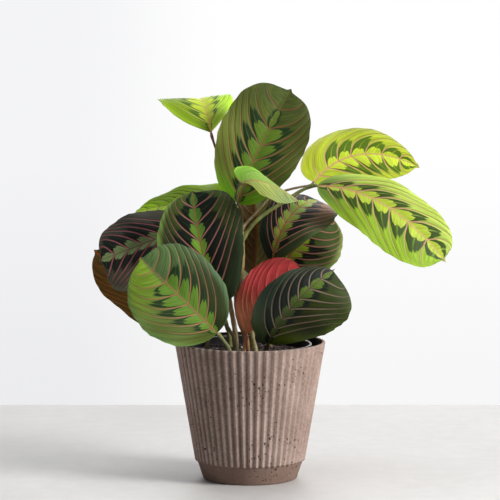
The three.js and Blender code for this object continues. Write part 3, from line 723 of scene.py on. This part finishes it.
def buildLeaf(name, leaf, materials, seed):
    row = veinRows()
    u = np.linspace(0, 1, leafCut["columns"])
    half = np.sin(u * math.pi / 2)
    field, v = np.meshgrid(row, np.concatenate([-half[:0:-1], half]), indexing="ij")
    out = abs(v)
    sweep = sided(leaf, "sweep", v >= 0) * (leafCut["lean"] * out + leafCut["bend"] * out ** 4)
    s = (field / leafCut["veins"]) ** (leafCut["spread"] / (1 + sweep))  # veins start steep, then follow the rim
    points, reach = bladePoints(leaf, s, v)
    normals = bladeNormals(leaf, s, v)
    between = field % 1
    ends = np.clip(s * 6, 0, 1) * np.clip((1 - s) * 6, 0, 1)
    rise = np.sqrt(np.clip(np.sin(math.pi * between), 0, 1)) * (1 - 0.3 * between)
    puff = np.where(field < 1, np.sqrt(between), rise) * ends * np.clip(reach / 6, 0, 1) * (1 - 0.55 * out ** 2)
    groove = leafCut["groove"] * np.exp(-(reach / 0.9) ** 2) * np.clip((1 - s) * 3, 0, 1)
    relief = leaf["relief"] * leafCut["quilt"] * puff - groove
    rowGap = np.gradient(points, row, axis=0)
    veinWay = np.gradient(points, axis=1)
    veinWay /= np.maximum(np.linalg.norm(veinWay, axis=-1, keepdims=True), 1e-6)
    pitch = np.linalg.norm(np.cross(rowGap, veinWay), axis=-1)
    rib = leafCut["rib"] * np.exp(-(reach / 0.8) ** 2) * (1 - 0.7 * s)
    rows, columns = s.shape
    top = points + normals * (leafCut["thickness"] / 2 + relief)[..., None]
    under = points + normals * (relief - leafCut["thickness"] / 2 - rib)[..., None]
    every = np.concatenate([top.reshape(-1, 3), under.reshape(-1, 3)])
    lower = rows * columns
    topFaces = gridFaces(rows, columns, False)
    underFaces = gridFaces(rows, columns, False, lower, True)
    margin = [*range(columns), *[r * columns + columns - 1 for r in range(1, rows)],
              *[(rows - 1) * columns + c for c in range(columns - 2, -1, -1)],
              *[r * columns for r in range(rows - 2, 0, -1)]]
    rim = [(a, lower + a, lower + b, b) for a, b in zip(margin, margin[1:] + margin[:1])]
    kinds = [0] * len(topFaces) + [1] * len(underFaces) + [0] * len(rim)
    piece = addPiece("leaf_" + name, every, topFaces + underFaces + rim, materials, slotOf["leaf_" + name],
                     ["leaf_" + name], kinds, 60)

    cells = paintCells(leaf, random.Random(round(seed * 10)))
    side = (v[:-1, :-1] + v[:-1, 1:] > 0).ravel().astype(int)
    interval = np.minimum(field[:-1, :-1] + 1e-6, leafCut["veins"] - 1).astype(int).ravel()
    topCells = [cells[pair] for pair in zip(side.tolist(), interval.tolist())]
    giveVectors(piece, "cell", topCells * 2 + [(0, 0, 0)] * len(rim), "FACE")

    paints = {**leafPaints[leaf["paint"]], **leaf.get("tintsAndShade", {})}
    tints = {role: np.array(paint(code)[:3]) for role, code in paints.items()}
    ones = np.ones_like(v)
    onePoint = {
        "vein": np.stack([field, v, ones * seed], -1), "zone": np.stack([reach, pitch, s], -1),
        "trait": ones[..., None] * [leaf["pale"], leaf["fade"], 0],
        "outerTint": outerTints(tints, s, v),
        "underTint": underTints(leaf, 0, s, v), "underVeinTint": underTints(leaf, 1, s, v),
        **{role + "Tint": roleTints(tints, role, s) for role in ("patch", "stain", "vein", "midrib")},
    }
    for attribute, vectors in onePoint.items():
        giveVectors(piece, attribute, np.tile(vectors.reshape(-1, 3), (2, 1)))
    return piece


# Leaves: their colours.
leafPaints = {
    "green": {"left": "5c7434", "right": "566b2c", "patch": "6a9a2c", "stain": "1d3318", "vein": "a07050",
              "midrib": "94684a"},
    "dark": {"left": "2c3826", "right": "2c3624", "patch": "6f9040", "stain": "141c16", "vein": "b0706a",
             "midrib": "93683e"},
    "lime": {"left": "b2c432", "right": "b4c634", "patch": "bcd238", "stain": "47661c", "vein": "cf9a74",
             "midrib": "cf9a74"},
}
# Rose is lighter near the stalk: partly the leaf's own browner colour there, partly painted light where the leaf
# above shades it.
underPaints = {  # body and ridges, then both of them near the stalk where they differ there
    "crimson": ("a83434", "b84444"), "rose": ("b03c3c", "bc4c48", "de946a", "d88a64"),
    "olive": ("6a4e0c", "b8622c"), "umber": ("625a34", "8c5c34"), "pale": ("a5bd62", "cf9a7c"),
    "moss": ("6e8a4c", "a08c50", "78884c", "a08c50"),
}
leafSkin = {
    "streakTints": (0.74, 1.2), "lobeTints": (0.78, 1.2), "teeth": 3.2, "veinHalf": 0.52, "veinThinning": 0.2,
    "ribHalf": 0.8, "ribThinning": 0.5, "silverSheen": ("9dbb72", "c3d3a2"), "topGloss": 0.18, "underGloss": 0.15,
    "glow": 0.12, "glowDepth": 0.0012, "topGlow": (0.6, 1.0, 0.25), "underGlow": (1.0, 0.6, 0.25),
}


def veinPlaces(start):  # what both faces of a blade read: where a point lies among the side veins
    field, v, seed = start.attribute("vein").parts()
    reach, pitch, s = start.attribute("zone").parts()
    nearest = field.only("ROUND").largest(1.0).smallest(leafCut["veins"] - 1.0)
    return field, abs(v), seed + v.step(-0.001, 0.001) * 17.0, reach, s, abs(field - nearest) * pitch


def leafSockets(gloss, glow):
    return {"Specular IOR Level": gloss, "Subsurface Weight": leafSkin["glow"], "Subsurface Radius": glow,
            "Subsurface Scale": leafSkin["glowDepth"]}


def leafTopMaterial():
    material, start = newMaterial("leafTop")
    field, out, sideSeed, reach, s, veinAway = veinPlaces(start)
    patch, stain, joint = start.attribute("cell").parts()
    pale, fade = start.attribute("trait").parts()[:2]
    outerTint, patchTint, stainTint, veinTint, midribTint = [
        start.attribute(role + "Tint") for role in ("outer", "patch", "stain", "vein", "midrib")]
    between = field.only("FRACT")
    streaks = start.clouds(start.joined(field * 9.0, out * 2.2, sideSeed), 1.0, 2.0, 0.55)
    fine = start.clouds(start.joined(field * 32.0, out * 2.6, sideSeed), 1.0, 2.0, 0.5)
    wander = start.clouds(start.joined(field * 4.0, out * 5.0, sideSeed + 7.0), 1.0, 2.0)

    slant = 1.25 - 0.5 * between  # a patch ends square to its veins, so it reaches farther on its lower side
    block = between.step(0.0, 0.26) * between.step(1.0, 0.8)
    teeth = start.pair("PINGPONG", between * leafSkin["teeth"] + 0.6 * wander, 0.5) * 2.0
    edge = patch * (slant * (joint + (1.0 - joint) * block) + 0.22 * (teeth - 0.5) * block)
    patchMask = out.step(edge + 0.014, edge - 0.012)
    stainEnd = edge + stain * slant * (0.72 + 0.5 * streaks) * (0.75 + 0.25 * block)
    stainMask = out.step(stainEnd + 0.045, stainEnd - 0.03) * stain.step(0.0, 0.03)
    thread = abs(between - 0.5).step(0.07, 0.02) * out.step(stainEnd + 0.12, edge)

    streaky = (streaks * 0.7 + fine * 0.3).step(0.34, 0.66)
    outer = streaky.blend(*[outerTint.times(share) for share in leafSkin["streakTints"]])
    # Each side vein gets painted shade on its stalk side and a painted highlight on its tip side, standing in for
    # the light on the swollen tissue between veins.
    veinShadeSide = between.step(0.6, 0.98) * out.step(0.06, 0.3)
    outer = (veinShadeSide * 0.55).blend(outer, outerTint.times(0.5))
    outer = (between.step(0.3, 0.0) * 0.4).blend(outer, outerTint.times(1.35))
    colour = (stainMask * (1.0 - 0.5 * thread)).blend(outer, stainTint)
    ribbed = (fine * 0.6 + streaks * 0.4).step(0.32, 0.68)
    lobe = ribbed.blend(*[patchTint.times(share) for share in leafSkin["lobeTints"]])
    colour = (patchMask * 0.95).blend(colour, lobe)
    veinHalf = leafSkin["veinHalf"] - leafSkin["veinThinning"] * out
    veinMask = veinAway.step(veinHalf + 0.35, veinHalf - 0.2) * reach.step(0.2, 0.8)
    veinMask = veinMask * (1.0 - 0.35 * out.step(0.5, 1.0))
    veinColour = (out.step(0.2, 0.95) * fade).blend(veinTint, outerTint.times(0.7))
    colour = (veinMask * 0.9).blend(colour, veinColour)
    ribHalf = leafSkin["ribHalf"] - leafSkin["ribThinning"] * s
    colour = (reach.step(ribHalf + 0.35, ribHalf - 0.2) * 0.9).blend(colour, midribTint)
    # Young leaves get a pale silvery painted sheen, the look of a blade seen at a grazing angle, as much as their
    # pale trait asks.
    silverSheen = (fine * 0.5 + streaks * 0.5).step(0.3, 0.7).blend(*leafSkin["silverSheen"])
    colour = (pale * 0.75).blend(colour, silverSheen)
    height = 0.5 * fine + 0.7 * streaks - 0.6 * veinMask
    finishMaterial(start, colour, 0.42 + 0.14 * streaks, height, 0.0003,
                   leafSockets(leafSkin["topGloss"], leafSkin["topGlow"]))
    return material


def leafUnderMaterial():
    material, start = newMaterial("leafUnder")
    field, out, sideSeed, reach, _, veinAway = veinPlaces(start)
    body, ridge = start.attribute("underTint"), start.attribute("underVeinTint")
    fine = start.clouds(start.joined(field * 30.0, out * 3.0, sideSeed), 1.0, 2.0)
    broad = start.clouds(start.joined(field * 2.0, out * 3.0, sideSeed), 1.0, 2.0)
    colour = (fine * 0.4 + broad * 0.6).step(0.34, 0.66).blend(body.times(0.6), body.times(1.05))
    veinMask = veinAway.step(0.75, 0.2) * (1.0 - 0.4 * out)
    colour = (veinMask * 0.75).blend(colour, ridge)
    colour = (reach.step(1.3, 0.7) * 0.8).blend(colour, ridge)
    finishMaterial(start, colour, 0.45 + 0.1 * fine, fine + 1.2 * veinMask, 0.0003,
                   leafSockets(leafSkin["underGloss"], leafSkin["underGlow"]))
    return material


leafMaterials = [leafTopMaterial(), leafUnderMaterial()]
shaped = {}
for index, (name, given) in enumerate(leaves.items()):
    shaped[name] = {**leafUsual, **given, "phase": ((index * 0.37) % 1, (index * 0.61 + 0.2) % 1)}
    buildLeaf(name, shaped[name], leafMaterials, index * 3.1)
print("leaves are made:", len(shaped))

# Stalks.
stalkLook = {
    "sides": 14, "ring": 1.6, "voxel": 0.5, "rootHeight": 108.0, "uprightTo": 116.0, "lead": 4, "sunk": 0.6,
    "joint": 0.45, "jointFromTip": 5.5, "jointLength": 2.6, "taper": 2.2, "sheath": 0.5, "sheathLength": 11,
    "flare": 0.35, "flareFrom": 8, "flareLength": 14, "ripple": 0.05, "shade": (0.55, 0.5, 0.45, 1),
    "fleck": "a0553c",
}
# The colours at the low ends are partly the stalks' own paler, browner colour and partly painted light, made
# lighter to offset the shade under the leaves.
shoots = {  # leaf, route, radii and colours at both ends; the first stalk of a shoot is the rooted one
    "tall": [
        ("", [(-3, -10), (-4, -10, 128), (-10, -12, 146), (-12, -11, 165), (-7, -8, 193), (-7, -6, 213),
         (-8, -5, 226)], (2.8, 2.2), ("d0a070", "7a7236")),
        ("right_lower", [(-7, -6, 214), (-3, -5, 221), (5, -5, 231), (18, -4, 241), (28, -3, 247),
         (45, -2, 258)], (2.0, 1.5), ("7c8444", "6f8038")),
        ("right_upper", [(-8, -5, 222), (-3, 0, 229), (4, 4, 236), (11, 7, 244), (19, 11, 252), (32, 15, 257),
         (46, 19, 260)], (1.4, 1.1), ("8a7a50", "6a5a34")),
        ("young", [(-8, -6, 223), (-7, -14, 233), (-8, -25, 243), (-11, -36, 250), (-12, -41, 257)],
         (1.1, 0.8), ("6b6434", "3f3620")),
        ("top", [(-8, -4, 222), (-9, 4, 230)], (1.5, 1.2), ("a08a48", "8d9a50")),
        ("upper_left", [(-8, -5, 216), (-13, 14, 228), (-20, 34, 250), (-30, 38, 290)], (1.5, 1.1),
         ("7d6a3a", "a07058")),
    ],
    "left": [
        ("", [(-13, -2), (-13, -2, 129), (-17, 1, 153), (-21, 4, 175), (-26, 8, 192)], (2.6, 1.9),
         ("ccb48c", "76804a")),
        ("far_left", [(-25, 7, 188), (-38, 13, 212)], (1.5, 1.1), ("6f7a3a", "6a5a38")),
        ("back_left", [(-26, 8, 190), (-27, 18, 215), (-25, 28, 236)], (1.5, 1.1), ("6f7a3a", "93a04c")),
    ],
    "front_left": [
        ("front_left", [(-18, -29), (-18, -30, 119)], (1.9, 1.5), ("c4cc9c", "a4b070")),
    ],
    "middle_left": [
        ("left", [(-12, -19), (-14, -19, 128), (-21, -21, 141)], (1.8, 1.3), ("a8a47c", "5c5c30")),
    ],
    "low_left": [
        ("low_left", [(-38, 8), (-38, 9, 122)], (1.7, 1.3), ("a4b07c", "8a9050")),
    ],
    "inner": [
        ("centre_right", [(5, -17), (2, -16, 133), (5, -11, 158), (11, -7, 178)], (2.1, 1.4),
         ("e2dca0", "b4b060")),
        ("inner_right", [(4, -12, 152), (14, -4, 168), (24, 2, 180)], (1.5, 1.2), ("8d9248", "8a6a40")),
    ],
    "rolled": [
        ("rolled", [(-5, -28), (-5, -28, 120)], (1.6, 1.3), ("f4bc90", "d08058")),
    ],
    "front_right": [
        ("front_right", [(14, -33), (14, -33, 117)], (1.7, 1.4), ("6a7038", "4a3f26")),
    ],
    "back_middle": [
        ("", [(2, 14), (2, 15, 130), (2, 18, 148)], (2.6, 2.1), ("8a7a42", "75803c")),
        ("inner", [(2, 17, 144), (3, 19, 162)], (1.5, 1.2), ("75803c", "8a6a38")),
        ("back_middle", [(2, 16, 138), (1, 34, 150)], (1.5, 1.2), ("75803c", "6a5a38")),
        ("back_top", [(2, 17, 144), (8, 30, 166), (15, 42, 196)], (1.6, 1.2), ("75803c", "7f8c44")),
    ],
    "back_left": [
        ("back_left_low", [(-18, 18), (-19, 19, 128), (-26, 28, 142)], (2.1, 1.4), ("86884a", "77803e")),
        ("back_left_high", [(-20, 20, 131), (-26, 28, 156), (-30, 34, 180)], (1.6, 1.2),
         ("77803e", "7f8c44")),
    ],
    "back_right": [
        ("back_right_low", [(18, 18), (18, 20, 128)], (2.1, 1.4), ("8a8048", "6a6a38")),
        ("back_right_high", [(18, 20, 126), (21, 26, 150), (24, 33, 174)], (1.6, 1.2), ("77803e", "7f8c44")),
    ],
}


def smoothRoute(knots, spacing):  # a centripetal spline through the knots, evenly sampled
    knots = np.array(knots, float)
    padded = np.vstack([2 * knots[0] - knots[1], knots, 2 * knots[-1] - knots[-2]])
    fine = []
    for k in range(1, len(padded) - 2):
        a, b, c, d = padded[k - 1:k + 3]
        ta, tb, tc = [max(np.linalg.norm(q - p), 1e-6) ** 0.5 for p, q in ((a, b), (b, c), (c, d))]
        out = ((b - a) / ta - (c - a) / (ta + tb) + (c - b) / tb) * tb
        into = ((c - b) / tb - (d - b) / (tb + tc) + (d - c) / tc) * tb
        for t in np.linspace(0, 1, 24, endpoint=False):
            fine.append(b * (2 * t ** 3 - 3 * t ** 2 + 1) + out * (t ** 3 - 2 * t ** 2 + t)
                        + c * (3 * t ** 2 - 2 * t ** 3) + into * (t ** 3 - t ** 2))
    fine = np.array(fine + [knots[-1]])
    gone = np.concatenate([[0], np.cumsum(np.linalg.norm(np.diff(fine, axis=0), axis=1))])
    even = np.linspace(0, gone[-1], max(4, round(gone[-1] / spacing)) + 1)
    return np.stack([np.interp(even, gone, fine[:, k]) for k in range(3)], -1), gone[-1]


def sweepTube(centres, radii, sides):
    way = np.gradient(centres, axis=0)
    way /= np.linalg.norm(way, axis=1, keepdims=True)
    across = np.cross(way[0], [0.3, 1, 0.2])
    points = []
    for centre, direction, radius in zip(centres, way, radii):
        across = across - direction * (across @ direction)
        across /= np.linalg.norm(across)
        other = np.cross(direction, across)
        for k in range(sides):
            turn = 2 * math.pi * k / sides
            points.append(centre + (across * math.cos(turn) + other * math.sin(turn)) * radius)
    faces = gridFaces(len(centres), sides, True)
    last = (len(centres) - 1) * sides
    faces += [tuple(range(sides - 1, -1, -1)), tuple(range(last, last + sides))]
    return points, faces


def buildShoot(name, stalks, material):
    points, faces, samples = [], [], []
    for index, (leafName, route, ends, tint) in enumerate(stalks):
        knots = [(*p[:2], p[2] if len(p) > 2 else stalkLook["rootHeight"]) for p in route]
        if index == 0:
            knots.insert(1, (*knots[0][:2], stalkLook["uprightTo"]))
        if leafName:
            base = midrib(shaped[leafName], np.zeros(1))[0]
            way = midribWay(shaped[leafName], np.zeros(1))[0]
            knots += [tuple(base - stalkLook["lead"] * way), tuple(base + stalkLook["sunk"] * way)]
        centres, length = smoothRoute(knots, stalkLook["ring"])
        share = np.linspace(0, 1, len(centres))
        radii = ends[0] + (ends[1] - ends[0]) * share
        gone = share * length
        if leafName:  # the swollen joint below the blade, then a quick taper into the midrib
            fromJoint = (length - gone - stalkLook["jointFromTip"]) / stalkLook["jointLength"]
            radii = radii + stalkLook["joint"] * np.exp(-fromJoint ** 2)
            radii = radii * np.clip((length - gone) / stalkLook["taper"] + 0.5, 0.45, 1)
        if index == 0:
            along = (gone - stalkLook["flareFrom"]) / stalkLook["flareLength"]
            radii = radii + stalkLook["flare"] * np.clip(1 - along, 0, 1)
        else:  # the sheath that clasps the stem where a stalk leaves it
            radii = radii + stalkLook["sheath"] * np.clip(1 - gone / stalkLook["sheathLength"], 0, 1) ** 0.5
        radii = radii * (1 + stalkLook["ripple"] * np.sin(gone * 0.7 + len(name)))
        tube, tubeFaces = sweepTube(centres, radii, stalkLook["sides"])
        faces += [tuple(i + len(points) for i in face) for face in tubeFaces]
        points += tube
        low, high = [np.array(paint(code)[:3]) for code in tint]
        for centre, part in zip(centres, share):
            samples.append((centre, low + (high - low) * part, part * length))
    mesh = bpy.data.meshes.new("draft")
    mesh.from_pydata((np.asarray(points) / 1000).tolist(), [], faces)
    draft = addObject("draft", mesh)
    fuse = draft.modifiers.new("fuse", "REMESH")
    fuse.mode = "VOXEL"
    fuse.voxel_size = stalkLook["voxel"] / 1000
    soften = draft.modifiers.new("soften", "SMOOTH")
    soften.factor, soften.iterations = 0.5, 3
    fused = bpy.data.meshes.new_from_object(draft.evaluated_get(bpy.context.evaluated_depsgraph_get()))
    fusedPoints = np.zeros(len(fused.vertices) * 3)
    fused.vertices.foreach_get("co", fusedPoints)
    fusedFaces = [tuple(face.vertices) for face in fused.polygons]
    bpy.data.objects.remove(draft)
    fusedPoints = fusedPoints.reshape(-1, 3) * 1000
    piece = addPiece("shoot_" + name, fusedPoints, fusedFaces, [material], slotOf["shoot_" + name],
                     ["shoot_" + name])
    near = kdtree.KDTree(len(samples))
    for k, sample in enumerate(samples):
        near.insert(Vector(sample[0]), k)
    near.balance()
    found = [near.find(Vector(p))[1] for p in fusedPoints]
    giveVectors(piece, "tint", [samples[k][1] for k in found])
    around = [math.atan2(p[1] - samples[k][0][1], p[0] - samples[k][0][0]) for p, k in zip(fusedPoints, found)]
    giveVectors(piece, "course", [(samples[k][2], a, 0) for k, a in zip(found, around)])
    return piece


def stalkMaterial():
    material, start = newMaterial("stalkSkin")
    tint = start.attribute("tint", 0)
    gone, around = start.attribute("course").parts()[:2]
    place = start.place()
    threads = start.clouds(start.joined(around * 3.0, gone * 0.05, 0.0), 1.4, 3.0)
    flecks = start.clouds(place, 420.0, 3.0)
    darker = start.node("ShaderNodeMix", {"data_type": "RGBA", "blend_type": "MULTIPLY"},
                        {0: 1.0, 6: tint, 7: stalkLook["shade"]}, 2)
    colour = (threads * 0.6 + flecks * 0.4).step(0.38, 0.62).blend(darker, tint)
    colour = (flecks.step(0.62, 0.72) * 0.35).blend(colour, stalkLook["fleck"])
    finishMaterial(start, colour, 0.42 + 0.15 * threads, threads + 0.5 * flecks, 0.0003,
                   {"Subsurface Weight": 0.1, "Subsurface Radius": (1.0, 0.8, 0.3), "Subsurface Scale": 0.002})
    return material


stalkSkin = stalkMaterial()
for name, stalks in shoots.items():
    buildShoot(name, stalks, stalkSkin)
print("stalks are made:", len(shoots))

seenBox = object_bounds()
boxes = {"cad": cadBox, "visual": seenBox}
{name: [list(corner) for corner in box] for name, box in boxes.items()}
